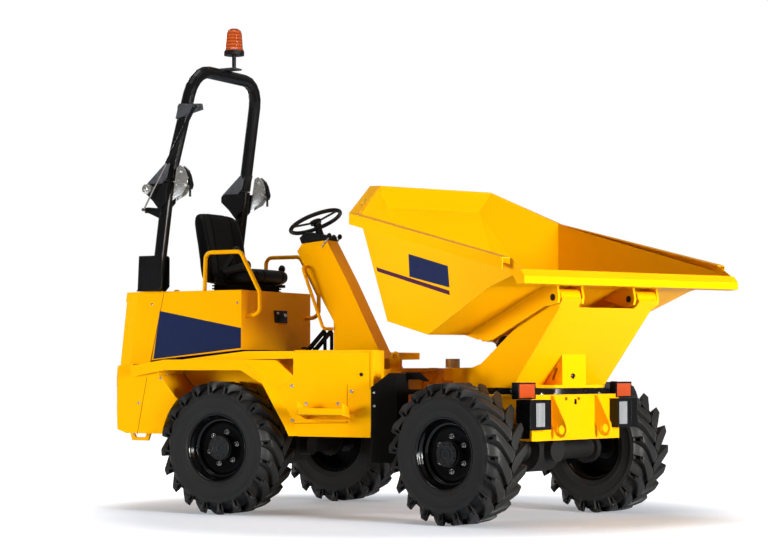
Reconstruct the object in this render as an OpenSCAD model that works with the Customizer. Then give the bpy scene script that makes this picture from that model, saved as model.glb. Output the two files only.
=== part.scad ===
// Site dumper: a swivel-skip, articulated four-wheel machine.
// The rear frame is the base; the front frame is hinged to it, the
// turntable stands on the front frame and the skip tips on the turntable.
// All lengths in mm, +X forward, +Y to the left, +Z up.

/* [Which part] */
// Name of one sub-part, or all of them

/* [Whole machine] */
// Rear axle to the centre pivot
pivot_x = 1100; // [900:5:1300]
// Centre pivot to the front axle
front_reach = 800; // [650:5:950]
// Track between tyre centre planes
track = 1500; // [1300:10:1700]
// Steering angle it is parked at, turned to the right
steer_deg = 12.5; // [0:0.5:20]
// Turntable angle it is parked at, turned to the right
slew_deg = 14; // [0:1:40]

/* [Tyres and rims] */
// Tyre radius to the lug tips
tyre_r = 422.5; // [380:0.5:460]
// Tyre width over the sidewalls
tyre_w = 290; // [240:5:330]
// Rim seat radius under the tyre
rim_r = 194.5; // [180:0.5:205]
// Rim flange radius
flange_r = 216; // [205:1:230]

/* [Rear body] */
// Outer face of the side boxes
body_w = 860; // [800:5:900]
// Top of the side boxes
box_top = 1042; // [980:1:1080]
// Underside of the rear body
body_low = 506; // [460:1:560]
// Top of the engine cover and cowl
deck_z = 1445; // [1350:5:1500]
// Half width of the engine cover
cover_w = 448; // [400:1:455]
// Sheet thickness of covers and boxes
sheet = 5; // [3:0.5:8]

/* [Roll frame] */
// Half width to the tube centres
rops_w = 472; // [460:1:500]
// Tube radius of the roll frame
rops_r = 42; // [30:1:45]
// Height of the fold hinge
fold_z = 2190; // [2100:5:2280]

/* [Skip] */
// Skip sheet thickness
skip_t = 6; // [4:0.5:10]
// Width of the folded rim
rim_fold = 55; // [40:1:70]
// Depth of the folded rim
rim_drop = 70; // [50:1:90]
// Tipping pin, forward of the turntable centre
pin_x = 675; // [640:1:700]
// Tipping pin height
pin_z = 1345; // [1320:1:1370]
// Tipping pin radius
pin_r = 20; // [16:1:25]

/* [Hidden] */
$fn = 32;
fit = 0.05;              // radial play of a running fit
half = track / 2;
slew_all = steer_deg + slew_deg;
// where the turntable centre stands, seen from the rear axle
fx = pivot_x + front_reach * cos(steer_deg);
fy = -front_reach * sin(steer_deg);
gx = 800;                // front end of the side rims
lip_x = 952;             // skip lip ahead of the turntable centre
lip_w = 838;             // half width over the lip
rim_w = 876;             // half width over the rim
back_x = -1058;          // skip back over the rim
back_w = 505;            // half width of the skip back
rear_x = -1100;          // rearmost face of the rear body
beacon_top = 3266;
// overall box, from the corners that reach furthest
x_hi = fx + lip_x * cos(slew_all) + lip_w * sin(slew_all);
x_lo = rear_x - 90;
y_lo = fy - lip_x * sin(slew_all) - lip_w * cos(slew_all);
y_hi = fy + 749.3 * sin(slew_all) + rim_w * cos(slew_all);
mid = [(x_hi + x_lo) / 2, (y_lo + y_hi) / 2, 0];
osc_z = 812;             // height of the oscillating tube

// ---- helpers ----
module base() { translate(-mid) children(); }
module in_front() { base() translate([pivot_x, 0, 0]) rotate([0, 0, -steer_deg]) translate([front_reach, 0, 0]) children(); }
module in_slew() { in_front() rotate([0, 0, -slew_deg]) children(); }
module both() { children(); mirror([0, 1, 0]) children(); }
module block(x0, x1, y0, y1, z0, z1) { translate([x0, y0, z0]) cube([x1 - x0, y1 - y0, z1 - z0]); }
module slab_xz(pts, y0, y1) { translate([0, y1, 0]) rotate([90, 0, 0]) linear_extrude(y1 - y0) polygon(pts); }
module slab_xy(pts, z0, z1) { translate([0, 0, z0]) linear_extrude(z1 - z0) polygon(pts); }
module slab_yz(pts, x0, x1) { translate([x0, 0, 0]) rotate([90, 0, 90]) linear_extrude(x1 - x0) polygon(pts); }
module ball(p, r) { translate(p) sphere(r, $fn = 20); }
module bar_x(x0, x1, y, z, r) { translate([x0, y, z]) rotate([0, 90, 0]) cylinder(h = x1 - x0, r = r); }
module bar_y(x, y0, y1, z, r) { translate([x, y0, z]) rotate([-90, 0, 0]) cylinder(h = y1 - y0, r = r); }
module bar_z(x, y, z0, z1, r) { translate([x, y, z0]) cylinder(h = z1 - z0, r = r); }
// straight round bar between two points
module rod(a, b, r) {
  d = b - a;
  translate(a) rotate([0, acos(d[2] / norm(d)), atan2(d[1], d[0])]) cylinder(h = norm(d), r = r);
}
// path through points, rounded to radius rb at each corner: [point, direction] pairs
function bent(pts, rb, k = 5) =
  let (n = len(pts), u = [for (i = [0 : n - 2]) (pts[i + 1] - pts[i]) / norm(pts[i + 1] - pts[i])])
  concat([[pts[0], u[0]]],
    [for (i = [1 : n - 2])
      let (t = acos(u[i - 1] * u[i]), y = u[i - 1], x = (u[i] - (y * u[i]) * y) / -sin(t), o = pts[i] - rb * tan(t / 2) * y - rb * x)
      for (j = [0 : k]) let (w = t * j / k) [o + rb * (cos(w) * x + sin(w) * y), cos(w) * y - sin(w) * x]],
    [[pts[n - 1], u[n - 2]]]);
// round bar along such a path; ref is any direction the path never takes
module pipe(pts, r, rb, ref = [0, 1, 0], sides = 14) {
  sweep([for (q = bent(pts, rb)) let (x = cross(ref, q[1]) / norm(cross(ref, q[1])), y = cross(q[1], x))
    [for (j = [0 : sides - 1]) let (w = 360 * j / sides) q[0] + r * (cos(w) * x - sin(w) * y)]]);
}
// closed skin through rings of points that all have the same count
module sweep(rings) {
  n = len(rings[0]);
  m = len(rings);
  pts = [for (r = rings) for (p = r) p];
  sides = [for (i = [0 : m - 2]) for (j = [0 : n - 1]) let (k = (j + 1) % n)
    each [[i * n + j, i * n + k, (i + 1) * n + k], [i * n + j, (i + 1) * n + k, (i + 1) * n + j]]];
  caps = [[for (j = [n - 1 : -1 : 0]) j], [for (j = [0 : n - 1]) (m - 1) * n + j]];
  polyhedron(pts, concat(caps, sides));
}

// ---- colours ----
yellow = [0.96, 0.72, 0.05];
black = [0.06, 0.06, 0.06];
steel = [0.62, 0.62, 0.64];
grey = [0.3, 0.3, 0.31];
amber = [0.95, 0.42, 0.05];

// ================= rear frame =================
rail_y0 = 196;
rail_y1 = 256;
rail_z0 = 520;
rail_z1 = 640;

// two main rails, cross plates and the clevis that holds the centre pivot
module rear_chassis() color(yellow) base() {
  difference() {
    union() {
      both() block(-799.7, 905, rail_y0, rail_y1, rail_z0, rail_z1);
      block(880, 905, -fender_in + 0.3, fender_in - 0.3, rail_z0 - 10, 924);
      block(-160, -120, -rail_y0 - 2, rail_y0 + 2, rail_z0, rail_z1 - 50);
      // clevis plates, round at the pin
      for (z = [558, 908]) slab_xy([[900, -230], [900, 230], [pivot_x + 50, 92], [pivot_x + 50, -92]], z, z + 22);
      // gussets under the upper plate
      for (y = [-232, 216]) slab_xz([[900, 760], [900, 910], [985, 910]], y, y + 16);
    }
    // pin bores
    bar_z(pivot_x, 0, 500, 1000, 30 + fit);
    // way through for the steering ram
    block(870, 915, -250, -120, 641, 725);
  }
  // shelf and pin for the steering ram
  block(660, 740, -197, -135, 630, 644);
  bar_z(ram_at[0], ram_at[1], 640, 716, 14);
  bar_z(ram_at[0], ram_at[1], 708, 716, 24);
}

// cast tail of the machine, shaped round the engine
module counterweight() color(yellow) base() {
  tail_casting();
  // tie-down plates below it
  both() difference() {
    slab_xz([[-758, 560], [-758, 512], [-738, 456], [-612, 456], [-590, 512], [-590, 560]], 742, 758);
    slab_xz([[-726, 508], [-714, 478], [-636, 478], [-622, 508]], 740, 760);
  }
}
module tail_casting() difference() {
  slab_xy([[-310, -body_w], [-785, -body_w], [rear_x, -430], [rear_x, 430], [-785, body_w], [-310, body_w]], body_low, 958);
  // engine bay
  block(-800, 0, -572, 572, body_low - 10, 1000);
  // wheel arches, with a slope cut off above them
  bar_y(0, -1000, 1000, tyre_r, 440);
  slab_xz([[-460, 970], [-460, 890], [-320, 735], [-200, 735], [-200, 970]], -1000, 1000);
  // seat of the mudguards
  slab_xz([[-664.3, 935.2], [-393, 978.6], [-393, 1000], [-664.3, 1000]], -1000, 1000);
  // top falls away to the rear
  slab_xz([[-690, 958], [rear_x - 10, 899], [rear_x - 10, 990], [-690, 990]], -1000, 1000);
  // slope under the tail
  slab_xz([[rear_x - 40, 654], [rear_x, 640], [-785, 531], [-712, body_low - 1], [-712, 400], [rear_x - 40, 400]], -1000, 1000);
}

module engine_block() color(grey) base() {
  block(-770, -200, -rail_y0 - 4, rail_y0 + 4, rail_z1 + 0.3, 1180);
}

// drive axle: tube, centre casing, pads and the wheel stubs
module axle_shape(pads) {
  bar_y(0, -590, 590, tyre_r, 68);
  both() bar_y(0, 560, 596, tyre_r, 100);
  both() bar_y(0, 590, 756, tyre_r, 45);
  bar_y(0, -110, 110, tyre_r, 135);
  bar_x(-190, 190, 0, tyre_r, 70);
  both() block(-70, 70, rail_y0, rail_y1, tyre_r, pads);
}
module rear_axle() color(black) base() axle_shape(rail_z0);

// mudguards over the rear wheels
fender_in = 462;
module fenders() color(yellow) base() both() {
  difference() {
    // top plates and the wedge that rises to the side box
    slab_xz([[-662, 936], [-664, 945], [-393, 985], [-280, 985], [203, 1037], [554.6, 1037], [554.6, 990], [203, 984.3], [-393, 979]], fender_in, body_w);
    slab_xz([[-250, 982.5], [203, 1031], [600, 1031], [600, 900], [203, 972], [-250, 972]], fender_in + sheet, body_w - sheet);
  }
  // outer lip
  slab_xz([[-664, 945], [-393, 985], [203, 984], [328, 839], [186, 917], [-393, 917], [-653, 876]], 884, 890);
  slab_xz([[-664, 939], [-664, 945], [-393, 985], [203, 984], [203, 978], [-393, 979]], body_w - 5, 887);
  // inner skin behind the wheel
  difference() {
    slab_xz([[-309, 575], [-309, 738], [-457, 898], [-457, 1000], [554.6, 1000], [554.6, 575]], 574, 580);
    slab_xz([[-500, 979], [203, 978], [203, 1100], [-500, 1100]], 500, 700);
    bar_y(0, 500, 700, tyre_r, 190);
  }
}

// tank and tool boxes beside the driver, each open on its inner side
module side_boxes() color(yellow) base() {
  mirror([0, 1, 0]) side_box();
  // the left one is lower ahead of the seat, to climb over
  difference() {
    side_box();
    block(340, 1200, 0, 1000, low_box, 1100);
  }
}
low_box = 925;
module side_box() {
  difference() {
    intersection() {
      slab_yz([[body_w, body_low], [body_w, 1020], [body_w - 16, box_top], [fender_in, box_top], [fender_in, body_low]], 300, 1105);
      slab_xz([[590, 400], [590, 508], [556, 595], [479, 714], [428, 793], [555, 880], [555, 1100], [1105, 1100], [1105, 400]], 0, 1000);
    }
    // front corner cut back inboard
    slab_yz([[fender_in - 20, body_low - 10], [fender_in - 20, box_top + 10], [body_w - 80, box_top + 10],
      [body_w - 140, 950], [body_w - 140, body_low - 10]], 985, 1200);
    // rear wall steps back where the inner skin ends
    block(400, 555, 0, 700, 400, 1100);
  }
  // outer skin runs on past the corner
  slab_xz([[1090, body_low + 30], [1126, body_low + 50], [1126, 1022], [1118, 1035], [1090, 1035]], body_w - 12, body_w);
  // front end of the mudguard: facets that turn from its lip to the box
  arch_end();
  // flared edge of the wheel arch
  sweep([for (q = [[[431, 797], [337, 846]], [[477, 714], [432, 690]], [[554, 595], [505, 575]], [[588, 508], [540, 508]]])
    [[q[1][0], 890, q[1][1]], [q[1][0], body_w - 16, q[1][1]], [q[0][0] + 8, body_w - 1, q[0][1]]]]);
}
// corners along and up; the first three also stand on the lip's plane
arch = [[205, 984], [361, 878], [329.5, 839], [425, 793], [556, 880], [424, 980]];
module arch_end() {
  function at(i, y) = [arch[i][0], y, arch[i][1]];
  polyhedron([at(0, 800), at(2, 800), at(3, 800), at(4, 800), at(5, 800), at(0, 890), at(1, 890), at(2, 890), at(3, body_w), at(4, body_w), at(5, body_w)],
    [[0, 4, 3, 2, 1], [0, 5, 10, 4], [4, 10, 9, 3], [3, 9, 8, 2], [2, 8, 7, 1], [1, 7, 5, 0], [5, 7, 6],
     [5, 6, 9], [5, 9, 10], [6, 7, 8], [6, 8, 9]]);
}

// fixed cover behind the engine
module rear_cowl() color(yellow) base() {
  difference() {
    cowl_skin(0);
    cowl_skin(sheet);
  }
  // hinge pins of the engine cover
  for (y = [-320, 276]) {
    block(-760, -713, y, y + 44, deck_z - 1, deck_z + 4);
    for (k = [y, y + 34]) slab_xz([[-722, deck_z - 1], [-703, deck_z - 1], [-696, deck_z + 5], [-694, deck_z + 13], [-706, deck_z + 13]], k, k + 10);
    bar_y(hinge_x, y, y + 44, hinge_z, 4);
  }
}
// cowl outline at four heights; the top ring overhangs a little at the back
module cowl_skin(t) {
  function foot(x) = x < -690 ? 958.3 + (x + 690) * 0.1405 : 958.3;
  function ring(xf, xs, xr, yr, z, o) = [for (q = [[xf + (t > 0 ? 40 : 0), -cover_w + t], [xs, -cover_w + t], [xr - o + t, -yr + t * 0.4],
    [xr - o + t, yr - t * 0.4], [xs, cover_w - t], [xf + (t > 0 ? 40 : 0), cover_w - t]]) [q[0], q[1], z > 0 ? z : foot(q[0]) - (t > 0 ? 40 : 0)]];
  sweep([ring(-822, -985, -1092, 410, 0, 0), ring(-721, -925, -1043, 400, 1378, 0), ring(-721, -925, -1043, 400, 1380, 8),
    ring(-705, -917, -1035, 398, deck_z - t, 8)]);
}
hinge_x = -700;
hinge_z = deck_z + 8;

// engine cover with the driver's seat on top; hinged at its back edge
hood_x1 = -90;
module engine_cover() color(yellow) base() {
  difference() {
    slab_xz([[-804, 983], [-701, deck_z], [hood_x1, deck_z], [hood_x1, 1051]], -cover_w, cover_w);
    slab_xz([[-830, 900], [-712, deck_z - sheet], [hood_x1 - sheet, deck_z - sheet], [hood_x1 - sheet, 900]], -cover_w + sheet, cover_w - sheet);
  }
  // hinge eyes
  for (y = [-309.5, 286.5]) difference() {
    union() {
      block(hinge_x, -660, y, y + 23, deck_z - 0.5, deck_z + 3);
      bar_y(hinge_x, y, y + 23, hinge_z, 8);
    }
    bar_y(hinge_x, y - 5, y + 28, hinge_z, 4 + fit);
  }
}

// driver's floor and the riser to the frame
module floor_plate() color(black) base() {
  block(-80, 480, -455, 455, 985, 993);
  for (x = [-60, 440]) block(x, x + 30, -rail_y1, rail_y1, rail_z1 + 0.3, 985);
}

// steering column housing, leaning back toward the driver
tower_w = 73;
module control_tower() color(yellow) base() difference() {
  slab_xz([[395, 993.3], [775, 993.3], [735, 1050], [500, 1500], [340, 1780], [150, 1762], [112, 1712], [395, 1240]],
    -tower_w, tower_w);
  slab_xz([[401, 980], [762, 980], [728, 1050], [494, 1498], [336, 1774], [154, 1757], [120, 1712], [401, 1242]],
    -tower_w + sheet, tower_w - sheet);
}

wheel_at = [212, 0, 1912];
wheel_tilt = -24;
module dash_panel() color(black) base() {
  slab_xz([[150, 1763], [338, 1781], [330, 1812], [180, 1842], [135, 1800]], -tower_w - 8, tower_w + 8);
  // steering column and its pin
  translate(wheel_at) rotate([0, wheel_tilt, 0]) {
    translate([0, 0, -125]) cylinder(h = 107, r = 23);
    translate([0, 0, -30]) cylinder(h = 31, r = 14);
  }
  // drive lever and throttle knob
  rod([285, -60, 1790], [310, -120, 1880], 5);
  ball([310, -120, 1880], 16);
  rod([180, 66, 1790], [162, 112, 1848], 5);
  ball([162, 112, 1848], 14);
}

module steering_wheel() color(black) base() translate(wheel_at) rotate([0, wheel_tilt, 0]) {
  rotate_extrude($fn = 48) translate([176, 0]) circle(r = 14, $fn = 24);
  for (a = [0, 120, 240]) rotate([0, 0, a]) translate([20, -11, -10]) cube([150, 22, 8]);
  difference() {
    translate([0, 0, -16]) cylinder(h = 24, r = 38);
    translate([0, 0, -20]) cylinder(h = 22, r = 14 + fit);
  }
}

module seat_suspension() color(black) base() {
  for (i = [0 : 4]) translate([-330, 0, deck_z + i * 10]) block(i % 2 == 0 ? -175 : -165, i % 2 == 0 ? 175 : 165,
    i % 2 == 0 ? -165 : -155, i % 2 == 0 ? 165 : 155, 0, 10);
}
module seat_cushion() color(black) base() difference() {
  slab_xz([[-479.7, 1495.3], [-150, 1495.3], [-112, 1530], [-116, 1575], [-180, 1600], [-440, 1580], [-484, 1570]], -235, 235);
  // slots that thin the corners
  for (s = [-1, 1]) translate([-112, s * 235, 1490]) rotate([0, 0, 45]) block(-30, 30, -30, 30, 0, 130);
}
module seat_back() color(black) base() {
  slab_xz([[-560, 1500], [-480, 1500], [-490, 1600], [-512, 1760], [-565, 1950], [-618, 1985], [-640, 1950], [-606, 1700]], -240, 240);
}

// hoops beside the seat, and the rail behind the steering tower
module grab_rails() color(yellow) base() both()
  pipe([[-420, 385, deck_z + 1], [-412, 385, 1702], [-137, 385, 1702], [14, 385, 1430],
    [14, 385, 1300], [-30, 385, 1276], [-89.7, 385, 1276]], 14, 45);
module tower_rail() color(yellow) base()
  pipe([[182, -tower_w - 0.3, 1605], [182, -tower_w - 50, 1605], [345, -tower_w - 50, 1190], [390, -tower_w - 0.3, 1190]], 11, 30, [1, 0.2, 0.4]);

// eye and link that lock the steering for transport
module lock_link() color(yellow) base() translate([54, 0, -21.7]) difference() {
  union() {
    slab_xz([[800, 955], [878, 955], [878, 1010], [862, 1046], [836, 1060], [808, 1048], [796, 1010]], -138, -118);
    block(800, 878, -150, -106, 952, 962);
  }
  bar_y(836, -200, 0, 1028, 16);
}

// ---- roll frame ----
foot_x = -748;
leg_top = [-650, rops_w, fold_z];   // where the upper hoop sits on the leg
fold_x = -772;                      // fold pins, behind the legs
pin_up = fold_z - 60;
hoop_x = -440;
hoop_x0 = -497;                     // top bar of the hoop
hoop_lean = leg_top[0] - hoop_x0;
hoop_top = 2940;
module rops_legs() color(black) base() {
  both() {
    block(-880, -712, rops_w - 62, rops_w + 46, deck_z + 0.3, 1453);
    for (y = [rops_w - 48, rops_w + 38]) slab_xz([[-872, 1452], [-700, 1452], [-676, 1478], [-676, 1672], [-688, 1684], [-862, 1684]], y, y + 8);
    rod([foot_x, rops_w, 1453], leg_top - [1, 0, 6], rops_r);
    // fold cheeks with their pins
    for (y = [rops_w - 63, rops_w + 53]) difference() {
      translate([0, 0, pin_up]) slab_xz([[-640, -90], [-620, 35], [-770, 35], [-806, 20], [-806, -20], [-740, -80], [-690, -140]], y, y + 10);
      bar_y(fold_x, y - 5, y + 15, pin_up, 12);
    }
    for (y = [rops_w - 60, rops_w + 40]) translate([0, 0, pin_up]) slab_xz([[-700, -130], [-640, -80], [-640, -10], [-700, -50]], y, y + 20);
    bar_y(fold_x, rops_w - 70, rops_w + 70, pin_up, 12);
  }
  // lower bracket of the gas strut
  slab_xz([[-812, 1972], [-786, 1972], [-690, 1930], [-680, 2000], [-786, 2010], [-812, 2008]], -rops_w - 50, -rops_w - 36);
  bar_y(strut_low[0], -rops_w - 71, -rops_w - 36, strut_low[2], 8);
}
module rops_hoop() color(black) base()
  pipe([leg_top - [0, 2 * rops_w, 0], [hoop_x0, -rops_w + 75, hoop_top], [hoop_x0, rops_w - 75, hoop_top], leg_top], rops_r, 190,
    [hoop_top - fold_z, 0, hoop_lean]);
// what is welded to the hoop: fold eyes, beacon plate and strut bracket
module hoop_brackets() color(black) base() {
  for (s = [-1, 1]) for (y = [rops_r + 0.3, -rops_r - 9.3]) difference() {
    translate([0, s * rops_w + s * y + (s < 0 ? -9 : 0), pin_up])
      slab_xz([[-640, 70], [-612, 170], [-650, 170], [-806, 30], [-806, -26], [-740, -26]], 0, 9);
    bar_y(fold_x, s * rops_w - 80, s * rops_w + 80, pin_up, 12 + fit);
    rod([leg_top[0], s * rops_w, fold_z - 5], [hoop_x0, s * (rops_w - 75), hoop_top], rops_r + 0.3);
  }
  block(hoop_x0 - 40, hoop_x0 + 90, -48, 48, hoop_top + 41.4, hoop_top + rops_r + 11);
  difference() {
    union() {
      slab_xz([[-585, 2600], [-560, 2700], [-380, 2690], [-372, 2650]], -rops_w - 26, -rops_w - 8);
      block(-580, -500, -rops_w - 10, -rops_w + 22, 2625, 2690);
    }
    rod([leg_top[0], -rops_w, fold_z - 5], [hoop_x0, -rops_w + 75, hoop_top], rops_r + 0.3);
  }
  bar_y(strut_high[0], -rops_w - 100, -rops_w - 18, strut_high[2], 5);
}
// gas strut: body pinned to the hoop, rod pinned to the leg
strut_low = [-797, -rops_w - 86, 1992];
strut_high = [-392, -rops_w - 86, 2664];
strut_len = norm(strut_high - strut_low);
strut_tip = 180 + acos((strut_high[2] - strut_low[2]) / strut_len);
module in_strut() { base() translate(strut_high) rotate([0, strut_tip, 0]) children(); }
module strut_tube() color(black) in_strut() difference() {
  union() {
    bar_y(0, -9, 9, 0, 12);
    cylinder(h = 430, r = 12);
  }
  translate([0, 0, 40]) cylinder(h = 420, r = 6 + fit);
  bar_y(0, -20, 20, 0, 5 + fit);
}
module strut_rod() color(steel) in_strut() difference() {
  union() {
    translate([0, 0, 330]) cylinder(h = strut_len - 335, r = 6);
    bar_y(0, -9, 9, strut_len, 12);
  }
  bar_y(0, -20, 20, strut_len, 5 + fit);
}
module beacon_base() color(black) base() {
  bar_z(hoop_x, 0, hoop_top + rops_r + 11.3, 3086, 14);
  bar_z(hoop_x, 0, 3082, 3111.7, 70);
}
module beacon_lens() color(amber) base() translate([hoop_x, 0, 3112])
  rotate_extrude($fn = 36) polygon([[0, 0], [66, 0], [66, 8], [61, 16], [54, 118], [46, 141], [28, 154], [0, 154]]);

module tail_lamps() color([0.7, 0.05, 0.04]) base() both()
  block(rear_x - 16, rear_x - 0.3, 310, 410, 800, 880);
module tow_hitch() color(black) base() {
  difference() {
    union() {
      for (z = [600, 690]) slab_xy([[rear_x - 14, -70], [rear_x - 14, 70], [rear_x - 90, 45], [rear_x - 90, -45]], z + 60, z + 80);
      block(rear_x - 16, rear_x - 0.3, -80, 80, 650, 780);
    }
    // bores for a drop pin
    bar_z(rear_x - 52, 0, 500, 900, 15);
  }
}

// ================= steering and front frame =================
// pivot block: turns in the clevis, and carries the front frame on its spigot
spigot_r = 55;
module centre_knuckle() color(yellow) in_front() {
  bar_z(-front_reach, 0, 540, 932, 30);
  bar_z(-front_reach, 0, 586, 902, 72);
  bar_x(-front_reach, -front_reach + 68, 0, osc_z, 82);
  bar_x(-front_reach, -front_reach + 194, 0, osc_z, spigot_r);
  // steering arm
  translate([-front_reach, 0, 0]) slab_xy([[0, -40], [60, -40], [84, -190], [84, -222], [40, -226], [34, -190], [-10, -60]], 716, 736);
}
// steering ram between the rear frame and the arm
ram_at = [700, -165, 680];
eye_at = [pivot_x + 60 * cos(steer_deg) - 200 * sin(steer_deg), -60 * sin(steer_deg) - 200 * cos(steer_deg), 680];
ram_len = norm(eye_at - ram_at);
ram_yaw = atan2(eye_at[1] - ram_at[1], eye_at[0] - ram_at[0]);
module in_ram() { base() translate(ram_at) rotate([0, 0, ram_yaw]) children(); }
module steer_barrel() color(black) in_ram() difference() {
  union() {
    bar_x(26, 268, 0, 0, 30);
    bar_z(0, 0, -24, 24, 30);
  }
  bar_x(45, 300, 0, 0, 18 + fit);
  bar_z(0, 0, -40, 40, 14 + fit);
}
module steer_rod() color(steel) in_ram() difference() {
  union() {
    bar_x(200, ram_len - 10, 0, 0, 18);
    bar_z(ram_len, 0, -22, 22, 26);
  }
  bar_z(ram_len, 0, -40, 40, 14 + fit);
}

// front frame: boxed rails, neck tube, turntable deck and the nose plate
deck_f = 770;
neck_x = -front_reach + 202;
module front_chassis() color(yellow) in_front() {
  difference() {
    union() {
      bar_x(neck_x - 126, neck_x + 1, 0, osc_z, 84);
      // seat of the filler cap
      bar_z(neck_x - 42, 0, osc_z, 919.7, 30);
    }
    bar_x(neck_x - 160, -440, 0, osc_z, spigot_r + fit);
  }
  difference() {
    union() {
      // neck plate from the tube down to the rails
      slab_yz([[-210, 600], [210, 600], [210, 770], [150, 870], [-150, 870], [-210, 770]], neck_x - 14, neck_x + 2);
      both() block(neck_x - 14, 322, 186, 206, 585, deck_f - 14);
      slab_xy([[neck_x + 2, -210], [neck_x + 2, 210], [-330, 330], [322, 330], [322, -330], [-330, -330]], deck_f - 14, deck_f);
      // nose plate with its lower flange
      block(318, 334, -458, 458, 500, deck_f);
      block(240, 334, -458, 458, 494, 506);
    }
    bar_x(neck_x - 160, neck_x + 8, 0, osc_z, 80);
    // bolt notches in the top of the nose plate
    for (y = [-120, 10]) block(300, 350, y, y + 26, deck_f - 34, deck_f - 16);
  }
  // towing eyes
  for (y = [-268, 190]) difference() {
    slab_xz([[333, 765], [352, 765], [446, 590], [452, 555], [436, 524], [404, 512], [376, 524], [333, 600]], y, y + 18);
    bar_y(408, y - 5, y + 25, 560, 28);
  }
}
module front_axle() color(black) in_front() axle_shape(585);

// turntable bearing bolted on the front frame
ring_in = 215;
module slew_ring() color(black) in_front() difference() {
  bar_z(0, 0, deck_f, 806, 330, $fn = 48);
  bar_z(0, 0, deck_f - 5, 815, ring_in + fit, $fn = 48);
}

// lamp carrier across the nose with a box at each end
module lamp_housings() color(black) in_front() both() {
  difference() {
    block(296, 400, 352, 562, 562, 742);
    block(388, 410, 366, 500, 580, 724);
    nose_room();
  }
  difference() {
    block(290, 336, 420, 595, 746, 845);
    block(328, 340, 432, 583, 754, 836);
    nose_room();
    block(280, 290, 400, 600, 740, 850);
  }
}
// room for the nose plate in the lamp boxes
module nose_room() block(200, 334.3, -458.3, 458.3, 490, deck_f + 0.3);
// lamp carrier behind the nose plate
module lamp_bar() color(black) in_front() difference() {
  block(282, 289.7, -600, 600, deck_f + 0.3, 804);
  bar_z(0, 0, 700, 900, 330.3, $fn = 48);
}
module headlamps() color([0.9, 0.9, 0.92]) in_front() both() block(388.3, 397, 368, 498, 582, 722);
module indicators() color(amber) in_front() both() difference() {
  block(328.3, 338, 433, 582, 755, 835);
  nose_room();
}

// flaps behind the front wheels, hung on black brackets
module mudguards() color(black) in_front() both() {
  // flap behind the wheel, its top corner cut away
  difference() {
    slab_xy([[-430, 690], [-430, 800], [-560, 886], [-570, 880], [-442, 794], [-438, 690]], 355, 900);
    slab_yz([[818, 900], [900, 785.4], [900, 950], [818, 950]], -600, -400);
  }
  difference() {
    slab_xz([[-500, 770], [-500, 800], [-430, 905], [-330, 905], [-250, 850], [-250, 840], [-330, 860], [-420, 860], [-440, 770]], 700, 712);
    block(-430, -250, 690, 720, 700, 850);
  }
  slab_xy([[-446, 206.3], [-446, 800], [-436, 800], [-436, 206.3]], deck_f + 0.3, 800);
}
module breather_cap() color([0.75, 0.62, 0.25]) in_front() translate([neck_x - 42, 0, 0]) {
  bar_z(0, 0, 920, 932, 24);
  bar_z(0, 0, 932, 990, 46);
}

// ================= turntable and skip =================
base_z = 811;
module pedestal() color(yellow) in_slew() {
  difference() {
    union() {
      slab_xy([[-462, -325], [-462, 325], [-425, 362], [262, 362], [438, 192], [438, -192], [262, -362], [-425, -362]], base_z, base_z + 18);
      // bracket at the front of the base, with a gusset behind its edge
      difference() {
        union() {
          block(426, 438, -128, 57, base_z + 16, 1013);
          slab_xz([[262, base_z + 16], [430, base_z + 16], [430, 1003], [300, 866]], -128, -116);
        }
        bar_x(400, 450, -46, 880, 17);
        for (k = [0 : 3]) bar_y(353 + k * 9, -140, -100, 868 + k * 18, 13);
      }
      bar_z(0, 0, 776, base_z + 5, ring_in, $fn = 48);
      both() difference() {
        union() {
          slab_xz([[-425, base_z + 16], [-440, 870], [-440, 930], [-150, 934], [-61, 956], [235, 1142], [557, 1335], [612, 1366],
            [720, 1366], [735, 1329], [262, base_z + 16]], 348, 362);
          bar_y(pin_x, 225, 376, pin_z, 50);
        }
      }
      // leaning front plate with two shoulders for the pin
      slab_xz([[246, base_z + 16], [262, base_z + 16], [706, 1296], [690, 1296]], -350, 350);
      both() slab_xz([[690, 1290], [700, 1290], [737, 1329], [722, 1352], [660, 1300]], 226, 376);
      // rear wall between the side plates
      block(-450, -438, -330, 330, base_z + 16, 926);
    }
    both() bar_y(pin_x, 150, 420, pin_z, pin_r + fit);
    bar_z(0, 0, 700, base_z - 4, 150);
    // clearance for the skip's lugs over the leaning plate
    block(640, 720, -216, 216, 1288, 1300);
    // low rear corners swing past the lamp boxes
    difference() {
      block(-600, -200, -600, 600, base_z - 5, 851);
      bar_z(0, 0, base_z - 10, 860, 500, $fn = 64);
    }
  }
  // ram foot
  both() difference() {
    slab_xz([[130, base_z + 10], [270, base_z + 10], [240, 925], [160, 925]], 62, 80);
    bar_y(200, 50, 90, 895, 22 + fit);
  }
}

// tub corners: along, out, up
tub = [
  [back_x + 55, back_w - 45, 2116],   // 0 top of the back
  [-1046, 388, 1984],                 // 1 bend of the back
  [-730, 400, 1262],                  // 2 foot of the back
  [-718, 820, 1900],                  // 3 rear corner of the side
  [-583, 697, 1224],                  // 4 rear foot of the side
  [-150, 700, 1134],                  // 5 lowest corner
  [575, 786, 1404],                   // 6 bend of the nose
  [918, 818, 1484]];                  // 7 lip
// how far each corner moves to reach the inner face
tub_in = [[6, -4, 0], [7, -4, 0], [8, -3, 8], [4, -6, 0], [3, -6, 8], [0, -6, 8], [0, -6, 7], [0, -6, 7]];
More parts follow.
